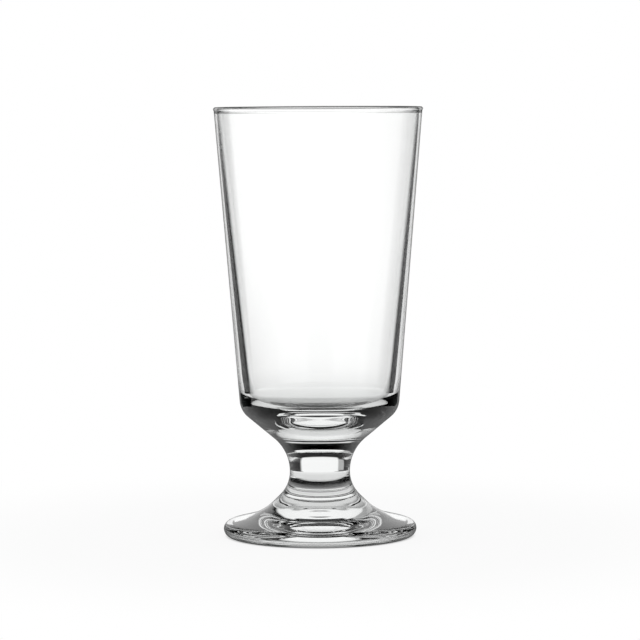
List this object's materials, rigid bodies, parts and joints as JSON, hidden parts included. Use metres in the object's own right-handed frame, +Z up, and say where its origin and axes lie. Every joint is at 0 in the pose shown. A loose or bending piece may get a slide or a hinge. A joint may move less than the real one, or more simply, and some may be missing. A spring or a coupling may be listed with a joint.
{
  "type": "footed highball glass",
  "caption": "Clear footed highball glass: a tall tapered bowl with a rounded shoulder and thick bottom on a short solid waisted stem and a round domed foot. Holds a drink.",
  "frame": {"origin": "centre of the ring that the foot stands on", "axes": "+Z up the glass's axis, from the foot to the rim; X and Y are alike, because the glass is turned"},
  "size_m": [0.0734, 0.0734, 0.151],
  "materials": {
    "clear_glass": "clear soda-lime glass, fire polished"
  },
  "bodies": {
    "root": {"bowl": "clear_glass", "stem": "clear_glass", "foot": "clear_glass"}
  },
  "joints": []
}
